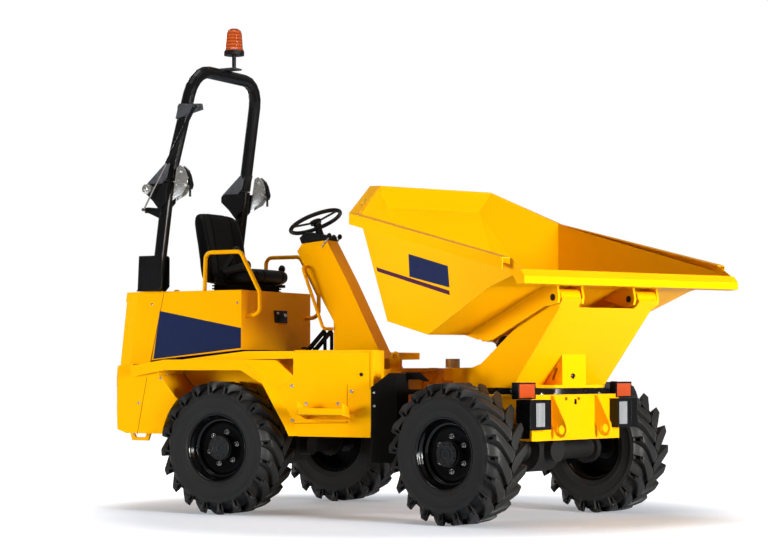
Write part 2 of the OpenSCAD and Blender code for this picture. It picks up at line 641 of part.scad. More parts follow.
// right-hand panels as corner triangles, seen from outside; the middle ones run across
side_faces = [[0, 3, 1], [1, 3, 4], [1, 4, 2], [3, 5, 4], [3, 6, 5], [3, 7, 6]];
strips = [0, 1, 2, 4, 5, 6, 7];
edge = [0, 3, 7];
module tub_shell() {
  n = len(tub);
  out_r = [for (p = tub) [p[0], -p[1], p[2]]];
  in_l = [for (i = [0 : n - 1]) tub[i] + tub_in[i] * skip_t / 6];
  in_r = [for (p = in_l) [p[0], -p[1], p[2]]];
  // corner numbers: right outer 0.., left outer n.., right inner 2n.., left inner 3n..
  right = side_faces;
  left = [for (f = side_faces) [f[0] + n, f[2] + n, f[1] + n]];
  across = [for (i = [0 : len(strips) - 2]) let (a = strips[i], b = strips[i + 1])
    each [[a, b, b + n], [a, b + n, a + n]]];
  skin = concat(right, left, across);
  inner = [for (f = skin) [f[0] + 2 * n, f[2] + 2 * n, f[1] + 2 * n]];
  rim_edge = [for (i = [0, 1]) let (a = edge[i], b = edge[i + 1])
    each [[a, a + 2 * n, b + 2 * n], [a, b + 2 * n, b], [a + n, b + 3 * n, a + 3 * n], [a + n, b + n, b + 3 * n]]];
  ends = [[0, n, 3 * n], [0, 3 * n, 2 * n], [7, 7 + 2 * n, 7 + 3 * n], [7, 7 + 3 * n, 7 + n]];
  polyhedron(concat(out_r, tub, in_r, in_l), concat(skin, inner, rim_edge, ends));
}
module skip() color(yellow) in_slew() {
  tub_shell();
  // folded rim along the back, the chamfers and the sides
  rim([[gx, rim_w - rim_fold, 1562, 0, 1], [-724, rim_w - rim_fold, 1906, -0.46, 1], [back_x + rim_fold, back_w - 45, 2120, -1, 0.72],
    [back_x + rim_fold, -back_w + 45, 2120, -1, -0.72], [-724, -rim_w + rim_fold, 1906, -0.46, -1], [gx, -rim_w + rim_fold, 1562, 0, -1]]);
  // lip bar
  slab_xz([[880, 1478], [918, 1490], [952, 1450], [952, 1408], [880, 1404]], -lip_w, lip_w);
  // cheeks that close the rim to the lip
  both() slab_xz([[gx - 10, 1490], [gx, 1562], [840, 1540], [920, 1490], [945, 1450], [930, 1408], [870, 1404]], lip_w - 28, lip_w - 22);
  // pin lugs, long gussets under the floor
  both() difference() {
    union() {
      slab_xz([[-260, 1150], [-200, 1140], [-50, 1106], [90, 1098], [600, 1300], [640, 1297], [715, 1310], [725, 1345], [700, 1462], [560, 1408], [-150, 1145]], 381, 397);
      slab_xz([[430, 1352], [640, 1297], [715, 1310], [725, 1345], [700, 1462], [500, 1385]], 196, 212);
    }
    bar_y(pin_x, 150, 420, pin_z, pin_r + 0.1);
  }
  // ram lugs under the floor
  both() difference() {
    slab_xz([[-470, 1215], [-440, 1100], [-360, 1100], [-330, 1185]], 42, 58);
    bar_y(-400, 30, 70, 1130, 20);
  }
}
// path of [along, out, up, normal x, normal y]; an angle section folded outward and down
module rim(path) {
  sweep([for (p = path) let (o = rim_fold * [p[3], p[4], 0] , i = 0.05 * o, c = [p[0], p[1], p[2]])
    [c - i - [0, 0, 6], c + o * 0.89 - [0, 0, 6], c + o * 0.89 - [0, 0, rim_drop], c + o - [0, 0, rim_drop], c + o, c - i]]);
}
module tip_pins() color(black) in_slew() both() bar_y(pin_x, 192, 402, pin_z, pin_r - fit);

// two-stage tipping ram under the skip
tip_at = [200, 0, 895];
tip_eye = [-400, 0, 1130];
tip_len = norm(tip_eye - tip_at);
tip_lean = -acos((tip_eye[2] - tip_at[2]) / tip_len);
module in_tip() { in_slew() translate(tip_at) rotate([0, tip_lean, 0]) children(); }
module tip_barrel() color(black) in_tip() {
  difference() {
    union() {
      cylinder(h = 520, r = 55);
      bar_y(0, -58, 58, 0, 45);
    }
    translate([0, 0, 60]) cylinder(h = 520, r = 44 + fit);
  }
  bar_y(0, -84, 84, 0, 22);
}
module tip_stage() color(steel) in_tip() difference() {
  translate([0, 0, 70]) cylinder(h = 480, r = 44);
  translate([0, 0, 100]) cylinder(h = 520, r = 30 + fit);
}
module tip_rod() color(steel) in_tip() {
  translate([0, 0, 110]) cylinder(h = tip_len - 120, r = 30);
  bar_y(0, -38, 38, tip_len, 34);
}

// ================= wheels =================
module rim_shape() difference() {
  union() {
    rotate([90, 0, 0]) rotate_extrude($fn = 48) polygon([[rim_r - 10, -104], [rim_r, -104], [rim_r, -96], [rim_r - 22, -60], [rim_r - 22, 40], [rim_r, 84],
      [rim_r, 110], [flange_r - 1, 113], [flange_r, 122], [flange_r - 8, 126], [rim_r - 8, 118], [rim_r - 10, 84], [rim_r - 32, 40],
      [rim_r - 32, 10], [110, -22], [46, -22], [46, -34], [110, -34], [rim_r - 38, -4], [rim_r - 32, -60], [rim_r - 10, -96]]);
    // hub
    rotate([90, 0, 0]) cylinder(h = 40, r = 78);
    rotate([90, 0, 0]) translate([0, 0, -80]) cylinder(h = 90, r = 92);
  }
  rotate([90, 0, 0]) translate([0, 0, -140]) cylinder(h = 150, r = 45 + fit);
}
// a carcass with lugs in two staggered rows, whose inner ends lead
lugs = 20;
lug_lean = 34;
module tyre_shape() {
  rotate([90, 0, 0]) rotate_extrude($fn = 32) polygon([[rim_r + 0.5, -100], [flange_r + 1, -124], [310, -tyre_w / 2],
    [tyre_r - 34, -106], [tyre_r - 34, 106], [310, tyre_w / 2], [flange_r + 2, 128], [flange_r + 1, 110], [rim_r + 0.5, 100]]);
  for (s = [-1, 1], k = [0 : lugs - 1]) rotate([0, (k + (s > 0 ? 0.5 : 0)) * 360 / lugs, 0]) translate([0, s * 68, 0])
    rotate([s * lug_lean, 0, 0]) block(tyre_r - 72, tyre_r - 4, -75, 75, -18, 18);
}
// which axle each wheel is on, and its side
wheels = [["rl", 0, 1], ["rr", 0, -1], ["fl", 1, 1], ["fr", 1, -1]];
module at_wheel(w) {
  if (w[1] == 0) base() side(w[2]) children();
  else in_front() side(w[2]) children();
}
// the shapes are drawn with the outer face toward -Y
module side(s) { mirror([0, s > 0 ? 1 : 0, 0]) translate([0, -half, tyre_r]) children(); }
module rim_at(w) color(black) at_wheel(w) rim_shape();
module tyre_at(w) color([0.1, 0.1, 0.1]) at_wheel(w) tyre_shape();

rear_chassis();
counterweight();
engine_block();
rear_axle();
fenders();
side_boxes();
rear_cowl();
engine_cover();
floor_plate();
control_tower();
dash_panel();
steering_wheel();
seat_suspension();
seat_cushion();
seat_back();
grab_rails();
tower_rail();
lock_link();
rops_legs();
rops_hoop();
hoop_brackets();
strut_tube();
strut_rod();
beacon_base();
beacon_lens();
tail_lamps();
tow_hitch();
centre_knuckle();
steer_barrel();
steer_rod();
front_chassis();
front_axle();
slew_ring();
lamp_housings();
headlamps();
lamp_bar();
indicators();
mudguards();
breather_cap();
pedestal();
skip();
tip_pins();
tip_barrel();
tip_stage();
tip_rod();
rim_at(wheels[0]);  // rim_rl
tyre_at(wheels[0]);  // tyre_rl
rim_at(wheels[1]);  // rim_rr
tyre_at(wheels[1]);  // tyre_rr
rim_at(wheels[2]);  // rim_fl
tyre_at(wheels[2]);  // tyre_fl
rim_at(wheels[3]);  // rim_fr
tyre_at(wheels[3]);  // tyre_fr
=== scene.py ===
# Site dumper: a four-wheel machine in two halves, hinged in the middle, with a skip
# that swivels and tips on the front half and a folding roll hoop over the driver.
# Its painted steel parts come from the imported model; rims, tyres, seat and trim are made here.
from math import sin, cos, pi, radians

import bpy
import bmesh
from mathutils import Matrix, Vector


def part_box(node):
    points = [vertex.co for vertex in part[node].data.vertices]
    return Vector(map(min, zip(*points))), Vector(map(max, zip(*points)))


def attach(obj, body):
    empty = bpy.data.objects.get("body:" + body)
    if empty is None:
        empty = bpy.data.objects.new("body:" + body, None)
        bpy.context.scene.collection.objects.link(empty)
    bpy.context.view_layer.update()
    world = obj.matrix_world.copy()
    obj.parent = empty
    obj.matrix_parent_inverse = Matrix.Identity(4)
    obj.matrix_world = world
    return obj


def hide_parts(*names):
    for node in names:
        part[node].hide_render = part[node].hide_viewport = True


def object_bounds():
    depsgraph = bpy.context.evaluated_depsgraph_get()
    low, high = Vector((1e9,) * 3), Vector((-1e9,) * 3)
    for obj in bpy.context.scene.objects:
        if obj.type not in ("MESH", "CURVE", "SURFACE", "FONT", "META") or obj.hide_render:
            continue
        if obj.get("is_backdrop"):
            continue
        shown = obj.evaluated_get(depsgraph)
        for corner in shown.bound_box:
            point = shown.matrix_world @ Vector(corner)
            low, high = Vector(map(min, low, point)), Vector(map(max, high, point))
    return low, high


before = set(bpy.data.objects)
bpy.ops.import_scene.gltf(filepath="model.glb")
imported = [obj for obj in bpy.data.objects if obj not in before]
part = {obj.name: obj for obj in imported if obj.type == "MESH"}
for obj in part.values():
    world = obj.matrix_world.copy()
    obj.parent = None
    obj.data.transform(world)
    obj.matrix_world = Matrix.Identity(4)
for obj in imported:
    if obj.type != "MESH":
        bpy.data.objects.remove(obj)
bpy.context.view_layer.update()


# ---- Studio ----
# The machine stands on a pale floor under broad soft lamps, seen from its front right
# corner at waist height. The floor and the room show white to the camera.
def middle(node):
    low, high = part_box(node)
    return (low + high) / 2


rear_axle = middle("rear_axle")
REAR = Matrix.Translation((rear_axle.x, rear_axle.y, 0))       # from the rear axle, straight ahead
steered, slewed = radians(12.5), radians(14)
front_axle = middle("front_axle")
FRONT = Matrix.Translation((front_axle.x, front_axle.y, 0)) @ Matrix.Rotation(-steered, 4, "Z")
SWUNG = FRONT @ Matrix.Rotation(-slewed, 4, "Z")                # turntable and skip

eye = bpy.data.objects.new("studio_camera", bpy.data.cameras.new("studio_camera"))
bpy.context.scene.collection.objects.link(eye)
eye.location = REAR @ Vector((7.1226, -11.835, 0.9332))
eye.rotation_euler = (radians(92.609), 0, radians(28.357))
eye.data.lens, eye.data.sensor_width = 95.8, 36
eye.data.clip_end = 200
bpy.context.scene.camera = eye
bpy.context.scene.view_settings.view_transform = "Standard"


def studio_lamp(name, kind, at, aim, watts):
    """A lamp of the studio at a place, turned towards a point on the machine."""
    lamp = bpy.data.objects.new("lamp_" + name, bpy.data.lights.new("lamp_" + name, kind))
    bpy.context.scene.collection.objects.link(lamp)
    lamp.location = at
    lamp.rotation_euler = (Vector(aim) - Vector(at)).to_track_quat("-Z", "Y").to_euler()
    lamp.data.energy = watts
    return lamp


for name, at, aim, size, watts, tint in (
        ("key", (9.4, -2.9, 1.5), (0.6, -0.3, 0.8), 2.4, 1350, (1, 0.985, 0.96)),
        ("side", (-9.4, -8.9, 1.7), (0.4, 0, 1.1), 3.6, 1420, (1, 1, 0.99)),
        ("top", (-0.5, -1.0, 9.0), (0, 0, 0), 6.0, 300, (1, 1, 1)),
        ("back", (-6.5, 5.5, 4.2), (0, 0, 1.6), 3.0, 200, (1, 1, 1))):
    lamp = studio_lamp(name, "AREA", at, aim, watts)
    lamp.data.shape, lamp.data.size, lamp.data.color = "DISK", size, tint
    lamp.visible_glossy = name != "side"

# a narrow lamp near the ground lifts the skip's side, which leans under
low_spot = studio_lamp("low", "SPOT", (-4.5, -9.0, 0.6), (0.2, -0.65, 1.7), 1400)
low_spot.data.spot_size, low_spot.data.spot_blend = radians(15), 1.0
low_spot.data.shadow_soft_size = 0.7
low_spot.visible_glossy = False

# a tall strip is there for the gloss of rims and lamps alone
strip = studio_lamp("strip", "AREA", (8.8, -3.6, 2.2), (0.4, -0.6, 0.8), 500)
strip.data.shape, strip.data.size, strip.data.size_y = "RECTANGLE", 0.9, 5.0
strip.visible_diffuse = False

room = bpy.data.worlds.new("room")
bpy.context.scene.world = room
room.use_nodes = True
nt = room.node_tree
nt.nodes.clear()
seen = nt.nodes.new("ShaderNodeLightPath")
shiny, clear_ray = nt.nodes.new("ShaderNodeMath"), nt.nodes.new("ShaderNodeMath")
shiny.operation = clear_ray.operation = "MAXIMUM"
lit, shown = nt.nodes.new("ShaderNodeBackground"), nt.nodes.new("ShaderNodeBackground")
lit.inputs[0].default_value, lit.inputs[1].default_value = (1, 0.86, 0.7, 1), 0.06
shown.inputs[0].default_value, shown.inputs[1].default_value = (1, 1, 1, 1), 1.0
either, room_out = nt.nodes.new("ShaderNodeMixShader"), nt.nodes.new("ShaderNodeOutputWorld")
partly = nt.nodes.new("ShaderNodeMath")
partly.operation, partly.inputs[1].default_value = "MULTIPLY", 0.14
nt.links.new(seen.outputs["Is Glossy Ray"], partly.inputs[0])
nt.links.new(seen.outputs["Is Camera Ray"], shiny.inputs[0])
nt.links.new(partly.outputs[0], shiny.inputs[1])
nt.links.new(shiny.outputs[0], clear_ray.inputs[0])
nt.links.new(seen.outputs["Is Transmission Ray"], clear_ray.inputs[1])
nt.links.new(clear_ray.outputs[0], either.inputs[0])
nt.links.new(lit.outputs[0], either.inputs[1])
nt.links.new(shown.outputs[0], either.inputs[2])
nt.links.new(either.outputs[0], room_out.inputs[0])

bpy.ops.object.select_all(action="DESELECT")
bpy.ops.mesh.primitive_plane_add(size=90, location=(0, 0, 0))
floor = bpy.context.object
floor.name = "studio_floor"
floor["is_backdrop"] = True
paper = bpy.data.materials.new("floor_paper")
paper.use_nodes = True
nt = paper.node_tree
nt.nodes.clear()
chalk, glow = nt.nodes.new("ShaderNodeBsdfDiffuse"), nt.nodes.new("ShaderNodeEmission")
where, grain = nt.nodes.new("ShaderNodeTexCoord"), nt.nodes.new("ShaderNodeTexNoise")
grain.inputs["Scale"].default_value = 40
tone = nt.nodes.new("ShaderNodeMapRange")
tone.inputs["To Min"].default_value, tone.inputs["To Max"].default_value = 0.96, 1.0
cool = nt.nodes.new("ShaderNodeMix")
cool.data_type = "RGBA"
cool.inputs["A"].default_value, cool.inputs["B"].default_value = (0, 0, 0, 1), (0.74, 0.8, 0.9, 1)
nt.links.new(where.outputs["Object"], grain.inputs["Vector"])
nt.links.new(grain.outputs["Fac"], tone.inputs["Value"])
nt.links.new(tone.outputs[0], cool.inputs["Factor"])
nt.links.new(cool.outputs["Result"], chalk.inputs["Color"])
# the paper glows white to the camera away from the machine and keeps its shadow near it; the weaker glow
# there also paints the floor greyer round the machine, a painted shade
away = nt.nodes.new("ShaderNodeVectorMath")
away.operation = "LENGTH"
fade = nt.nodes.new("ShaderNodeMapRange")
fade.interpolation_type = "SMOOTHSTEP"
for slot, value in (("From Min", 1.6), ("From Max", 2.85), ("To Min", 0.2), ("To Max", 1.0)):
    fade.inputs[slot].default_value = value
seen, lift = nt.nodes.new("ShaderNodeLightPath"), nt.nodes.new("ShaderNodeMath")
lift.operation = "MULTIPLY"
both, floor_out = nt.nodes.new("ShaderNodeAddShader"), nt.nodes.new("ShaderNodeOutputMaterial")
nt.links.new(where.outputs["Object"], away.inputs[0])
nt.links.new(away.outputs["Value"], fade.inputs["Value"])
nt.links.new(fade.outputs[0], lift.inputs[0])
nt.links.new(seen.outputs["Is Camera Ray"], lift.inputs[1])
nt.links.new(lift.outputs[0], glow.inputs["Strength"])
nt.links.new(chalk.outputs[0], both.inputs[0])
nt.links.new(glow.outputs[0], both.inputs[1])
nt.links.new(both.outputs[0], floor_out.inputs[0])
floor.data.materials.append(paper)


# ---- Painted sheet steel ----
# Chassis, covers, fenders, pedestal and skip are welded and cast steel sprayed in one
# golden yellow enamel: a faint orange peel, a mottled tone, edges paler from rubbing and painted highlight.
def finish(name, low, high, rough, metal=0.0, bump=0.0, grain=60.0, mottle=3.0, edge=None,
           edge_r=0.004, soft=0.0025, shine=0.5, sheen_tint=(1, 1, 1)):
    """A surface that varies between two colours, with fine bump and paler edges: wear, and painted highlight
    where edges catch light.
    """
    m = bpy.data.materials.new(name)
    m.use_nodes = True
    nt = m.node_tree
    skin = nt.nodes["Principled BSDF"]
    where = nt.nodes.new("ShaderNodeTexCoord")
    broad = nt.nodes.new("ShaderNodeTexNoise")
    broad.inputs["Scale"].default_value, broad.inputs["Detail"].default_value = mottle, 5
    nt.links.new(where.outputs["Object"], broad.inputs["Vector"])
    blend = nt.nodes.new("ShaderNodeMix")
    blend.data_type = "RGBA"
    blend.inputs["A"].default_value, blend.inputs["B"].default_value = (*low, 1), (*high, 1)
    nt.links.new(broad.outputs["Fac"], blend.inputs["Factor"])
    colour = blend.outputs["Result"]
    fine = nt.nodes.new("ShaderNodeTexNoise")
    fine.inputs["Scale"].default_value, fine.inputs["Detail"].default_value = grain, 3
    nt.links.new(where.outputs["Object"], fine.inputs["Vector"])
    rounded = nt.nodes.new("ShaderNodeBevel")
    rounded.samples = 4
    rounded.inputs["Radius"].default_value = soft
    if edge:
        wide = nt.nodes.new("ShaderNodeBevel")
        wide.samples = 4
        wide.inputs["Radius"].default_value = edge_r
        shape = nt.nodes.new("ShaderNodeNewGeometry")
        turn = nt.nodes.new("ShaderNodeVectorMath")
        turn.operation = "DOT_PRODUCT"
        nt.links.new(wide.outputs[0], turn.inputs[0])
        nt.links.new(shape.outputs["Normal"], turn.inputs[1])
        # the paler edge colour is partly rubbed wear and partly a painted highlight along edges
        edge_wear_and_highlight_mask = nt.nodes.new("ShaderNodeMapRange")
        edge_wear_and_highlight_mask.inputs["From Min"].default_value, edge_wear_and_highlight_mask.inputs["From Max"].default_value = 0.99, 0.86
        nt.links.new(turn.outputs["Value"], edge_wear_and_highlight_mask.inputs["Value"])
        patchy = nt.nodes.new("ShaderNodeMath")
        patchy.operation = "MULTIPLY"
        nt.links.new(edge_wear_and_highlight_mask.outputs[0], patchy.inputs[0])
        nt.links.new(broad.outputs["Fac"], patchy.inputs[1])
        edge_wear_and_highlight_mix = nt.nodes.new("ShaderNodeMix")
        edge_wear_and_highlight_mix.data_type = "RGBA"
        edge_wear_and_highlight_mix.inputs["B"].default_value = (*edge, 1)
        nt.links.new(patchy.outputs[0], edge_wear_and_highlight_mix.inputs["Factor"])
        nt.links.new(colour, edge_wear_and_highlight_mix.inputs["A"])
        colour = edge_wear_and_highlight_mix.outputs["Result"]
    nt.links.new(colour, skin.inputs["Base Color"])
    matt = nt.nodes.new("ShaderNodeMapRange")
    matt.inputs["To Min"].default_value, matt.inputs["To Max"].default_value = rough * 0.8, rough * 1.2
    nt.links.new(fine.outputs["Fac"], matt.inputs["Value"])
    nt.links.new(matt.outputs[0], skin.inputs["Roughness"])
    relief = nt.nodes.new("ShaderNodeBump")
    relief.inputs["Strength"].default_value, relief.inputs["Distance"].default_value = 1.0, bump
    nt.links.new(fine.outputs["Fac"], relief.inputs["Height"])
    nt.links.new(rounded.outputs[0], relief.inputs["Normal"])
    nt.links.new(relief.outputs[0], skin.inputs["Normal"])
    skin.inputs["Metallic"].default_value = metal
    skin.inputs["Specular IOR Level"].default_value = shine
    skin.inputs["Specular Tint"].default_value = (*sheen_tint, 1)
    return m


def paint_node(material, *names):
    for n in names:
        part[n].data.materials.clear()
        part[n].data.materials.append(material)


# its paler edge colour stands for rubbed wear and a painted highlight on edges
yellow_paint = finish("golden_yellow_enamel", (0.87, 0.39, 0.0005), (0.91, 0.42, 0.001), 0.3, bump=0.0004,
                      grain=220, edge=(1.0, 0.66, 0.06), edge_r=0.003, soft=0.003, shine=0.15,
                      sheen_tint=(1, 0.66, 0.08))
paint_node(yellow_paint, "rear_chassis", "counterweight", "fenders", "side_boxes", "rear_cowl",
           "engine_cover", "control_tower", "grab_rails", "tower_rail", "lock_link", "centre_knuckle",
           "front_chassis", "pedestal", "skip")


# ---- Black steelwork ----
# Roll frame, bearing, lamp boxes and rams' barrels are steel in satin black powder coat;
# axles and engine are castings in thicker, duller black.
satin_black = finish("satin_black_coat", (0.003, 0.003, 0.0034), (0.006, 0.006, 0.0066), 0.22,
                     bump=0.0004, grain=300, edge=(0.045, 0.045, 0.047), soft=0.002, shine=0.2)
paint_node(satin_black, "rops_legs", "rops_hoop", "slew_ring", "lamp_bar", "lamp_housings", "strut_tube",
           "steer_barrel", "tip_barrel", "tip_pins", "tow_hitch")
cast_black = finish("cast_black", (0.005, 0.005, 0.0052), (0.014, 0.0135, 0.013), 0.55, bump=0.003,
                    grain=120, edge=(0.05, 0.047, 0.044), shine=0.2)
paint_node(cast_black, "rear_axle", "front_axle", "engine_block")


# ---- Floor plate, column cover and small controls ----
# The floor is ribbed black plate; the dash is moulded plastic, and the steering wheel is a
# steel ring in soft black foam. The wheel flaps and the seat's bellows are black rubber.
def ribbed(name, low, high, rough, pitch):
    """Black plate with fine slanting ribs rolled into it."""
    m = finish(name, low, high, rough, bump=0.001, grain=400, edge=(0.12, 0.12, 0.12))
    nt = m.node_tree
    where = nt.nodes["Texture Coordinate"]
    ribs = nt.nodes.new("ShaderNodeTexWave")
    ribs.bands_direction = "DIAGONAL"
    ribs.inputs["Scale"].default_value = pitch
    nt.links.new(where.outputs["Object"], ribs.inputs["Vector"])
    raised = nt.nodes.new("ShaderNodeBump")
    raised.inputs["Strength"].default_value, raised.inputs["Distance"].default_value = 1, 0.0012
    nt.links.new(ribs.outputs["Fac"], raised.inputs["Height"])
    relief = nt.nodes["Bump"]
    nt.links.new(relief.outputs[0], raised.inputs["Normal"])
    nt.links.new(raised.outputs[0], nt.nodes["Principled BSDF"].inputs["Normal"])
    return m


ribbed_floor = ribbed("ribbed_floor", (0.014, 0.014, 0.014), (0.03, 0.03, 0.03), 0.5, 26)
paint_node(ribbed_floor, "floor_plate")
moulded_black = finish("moulded_black", (0.004, 0.004, 0.0045), (0.009, 0.009, 0.0095), 0.36,
                       bump=0.0012, grain=700, shine=0.2)
paint_node(moulded_black, "dash_panel", "beacon_base")
foam_black = finish("foam_rim_black", (0.004, 0.004, 0.004), (0.008, 0.008, 0.008), 0.4,
                    bump=0.0016, grain=500, shine=0.25)
paint_node(foam_black, "steering_wheel")
flap_rubber = finish("flap_rubber", (0.003, 0.0028, 0.0026), (0.006, 0.0056, 0.005), 0.6,
                     bump=0.002, grain=160, edge=(0.02, 0.018, 0.016), shine=0.04)
paint_node(flap_rubber, "mudguards", "seat_suspension")


# ---- Bright metal ----
# Ram rods are hard chrome over steel. The filler cap is yellow zinc, the roll hoop's
# brackets are zinc gone dull, and the small fixings are bright zinc.
chrome = finish("ram_chrome", (0.6, 0.61, 0.63), (0.72, 0.73, 0.74), 0.14, metal=1.0, bump=0.0002, grain=500)
paint_node(chrome, "strut_rod", "steer_rod", "tip_stage", "tip_rod")
zinc = finish("bright_zinc", (0.5, 0.49, 0.46), (0.78, 0.77, 0.73), 0.26, metal=0.9, bump=0.0005,
              grain=300, mottle=40)
dull_zinc = finish("dull_zinc", (0.05, 0.052, 0.06), (0.16, 0.165, 0.18), 0.38, metal=0.6, bump=0.0008,
                   grain=90, mottle=18)
paint_node(dull_zinc, "hoop_brackets")
gold_zinc = finish("yellow_zinc", (0.5, 0.4, 0.2), (0.75, 0.66, 0.42), 0.3, metal=0.85, bump=0.0006,
                   grain=200, mottle=25)
paint_node(gold_zinc, "breather_cap")


# ---- Lamps ----
# Head lamps, indicators, tail lamps and the beacon have clear, amber and red acrylic
# lenses over bright reflectors, moulded with fine ribs on the inside.
def lens(name, tint, glow, ribs, across="Z"):
    """A glossy lens whose ribs run between a dark tint and a lighter one; the lighter colour is a painted
    reflection of the bright reflector.
    """
    m = bpy.data.materials.new(name)
    m.use_nodes = True
    nt = m.node_tree
    skin = nt.nodes["Principled BSDF"]
    where = nt.nodes.new("ShaderNodeTexCoord")
    wave = nt.nodes.new("ShaderNodeTexWave")
    wave.bands_direction = across
    wave.inputs["Scale"].default_value = ribs
    wave.inputs["Distortion"].default_value = 0.6
    wave.inputs["Detail Scale"].default_value = 8
    nt.links.new(where.outputs["Object"], wave.inputs["Vector"])
    shade = nt.nodes.new("ShaderNodeMix")
    shade.data_type = "RGBA"
    shade.inputs["A"].default_value, shade.inputs["B"].default_value = (*tint, 1), (*glow, 1)
    nt.links.new(wave.outputs["Fac"], shade.inputs["Factor"])
    nt.links.new(shade.outputs["Result"], skin.inputs["Base Color"])
    relief = nt.nodes.new("ShaderNodeBump")
    relief.inputs["Distance"].default_value = 0.001
    nt.links.new(wave.outputs["Fac"], relief.inputs["Height"])
    nt.links.new(relief.outputs[0], skin.inputs["Normal"])
    skin.inputs["Roughness"].default_value = 0.08
    skin.inputs["Coat Weight"].default_value = 1.0
    skin.inputs["Coat Roughness"].default_value = 0.03
    return m


# each lens's lighter rib colour is a painted reflection of its reflector
paint_node(lens("amber_lens", (0.32, 0.025, 0.001), (0.62, 0.085, 0.006), 45), "indicators")
paint_node(lens("beacon_amber", (0.3, 0.03, 0.002), (0.5, 0.09, 0.006), 14), "beacon_lens")
paint_node(lens("red_lens", (0.4, 0.01, 0.008), (0.65, 0.04, 0.03), 60), "tail_lamps")
paint_node(lens("clear_lens", (0.04, 0.043, 0.047), (0.5, 0.52, 0.55), 26, "Y"), "headlamps")


# ---- Rims ----
# Pressed and rolled steel wheels in gloss black: a drop-centre rim welded to a dished
# disc, six zinc nuts, and the planetary hub's cast cover with its ring of screws.
gloss_black = finish("gloss_black_rim", (0.0015, 0.0015, 0.0018), (0.003, 0.003, 0.0035), 0.1,
                     bump=0.0002, grain=80, soft=0.002, shine=0.4)
disc_black = finish("disc_satin_black", (0.0015, 0.0015, 0.0017), (0.003, 0.003, 0.0033), 0.42,
                    bump=0.0006, grain=200, shine=0.1)
hub_black = finish("hub_cast_black", (0.006, 0.006, 0.0062), (0.013, 0.013, 0.0135), 0.4,
                   bump=0.0015, grain=260, edge=(0.07, 0.07, 0.07), soft=0.001, shine=0.3)
roll_radius, half_track = 0.4225, 0.75                          # axle height; axle's middle to a wheel's


def fresh():
    bpy.ops.object.select_all(action="DESELECT")


def keep(name, material, smooth=35):
    """Names the active piece, gives it its finish and puts its place into its mesh."""
    o = bpy.context.object
    o.name = o.data.name = name
    bpy.ops.object.transform_apply(location=True, rotation=True, scale=True)
    if smooth:
        bpy.ops.object.shade_smooth_by_angle(angle=radians(smooth))
    o.data.materials.clear()
    o.data.materials.append(material)
    return o


def soften(width, steps=2, angle=40):
    o = bpy.context.object
    b = o.modifiers.new("edges", "BEVEL")
    b.width, b.segments, b.limit_method, b.angle_limit = width, steps, "ANGLE", radians(angle)
    bpy.ops.object.modifier_apply(modifier=b.name)


def barrel(r, depth, at, axis, sides, edge, steps, material):
    """A round or hexagon piece with softened rims, centred at a point."""
    turn = {"X": (0, pi / 2, 0), "Y": (pi / 2, 0, 0), "Z": (0, 0, 0)}[axis]
    fresh()
    bpy.ops.mesh.primitive_cylinder_add(vertices=sides, radius=r, depth=depth, location=at, rotation=turn)
    soften(edge, steps)
    return keep("round", material)


def spun(section, steps, name, material, smooth):
    """A closed section of radii and widths turned about the wheel's axle."""
    fresh()
    bpy.ops.mesh.primitive_circle_add(vertices=len(section), fill_type="NOTHING")
    o = bpy.context.object
    for v, (r, w) in zip(o.data.vertices, section):
        v.co = (r, w, 0)
    bpy.ops.object.mode_set(mode="EDIT")
    bpy.ops.mesh.select_all(action="SELECT")
    bpy.ops.mesh.spin(steps=steps, angle=2 * pi, center=(0, 0, 0), axis=(0, 1, 0), dupli=False)
    bpy.ops.mesh.select_all(action="SELECT")
    bpy.ops.mesh.remove_doubles(threshold=0.0002)
    bpy.ops.mesh.normals_make_consistent(inside=False)
    bpy.ops.object.mode_set(mode="OBJECT")
    return keep(name, material, smooth)


def join(*pieces):
    fresh()
    for p in pieces:
        p.select_set(True)
    bpy.context.view_layer.objects.active = pieces[0]
    if len(pieces) > 1:
        bpy.ops.object.join()
    return bpy.context.object


def move(o, m):
    o.data.transform(m)
    return o


def twin(o):
    c = o.copy()
    c.data = o.data.copy()
    bpy.context.scene.collection.objects.link(c)
    return c


def copies(o, places, name, body=None):
    """One piece at each place, all in one mesh; the first model is used up."""
    row = [move(twin(o), m) for m in places]
    bpy.data.objects.remove(o)
    o = join(*row)
    o.name = o.data.name = name
    if body:
        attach(o, body)
    return o


# sections of radius and distance from the wheel's middle; the outer face has the lower one
rim_section = [
    (0.2178, -0.1265), (0.2165, -0.1305), (0.213, -0.1315), (0.2085, -0.1285), (0.2055, -0.121),
    (0.203, -0.11), (0.191, -0.1), (0.188, -0.083), (0.1865, -0.076), (0.182, -0.0712), (0.176, -0.07),
    (0.171, -0.064),
    (0.169, -0.05), (0.169, 0.03), (0.188, 0.05), (0.19, 0.094), (0.204, 0.106), (0.208, 0.12),
    (0.2135, 0.1245), (0.2165, 0.121), (0.2125, 0.112), (0.1945, 0.1), (0.1935, 0.048), (0.1745, 0.026),
    (0.1745, -0.058), (0.181, -0.066), (0.1905, -0.072), (0.1935, -0.098), (0.2085, -0.109), (0.2125, -0.12)]
disc_section = [
    (0.1735, -0.034), (0.169, -0.044), (0.161, -0.0505), (0.15, -0.053), (0.137, -0.051), (0.129, -0.047),
    (0.06, -0.046), (0.06, -0.038), (0.13, -0.039), (0.139, -0.043), (0.15, -0.045), (0.158, -0.043),
    (0.164, -0.037), (0.1665, -0.03)]
hub_section = [
    (0.0, -0.1005), (0.018, -0.1005), (0.0195, -0.104), (0.027, -0.104), (0.0285, -0.1005), (0.036, -0.1005),
    (0.0372, -0.1025), (0.0445, -0.1025), (0.0457, -0.1065), (0.0725, -0.1065), (0.0755, -0.1035),
    (0.0755, -0.088), (0.0715, -0.086), (0.0715, -0.08), (0.078, -0.078), (0.0795, -0.075), (0.0795, -0.03),
    (0.0, -0.03)]
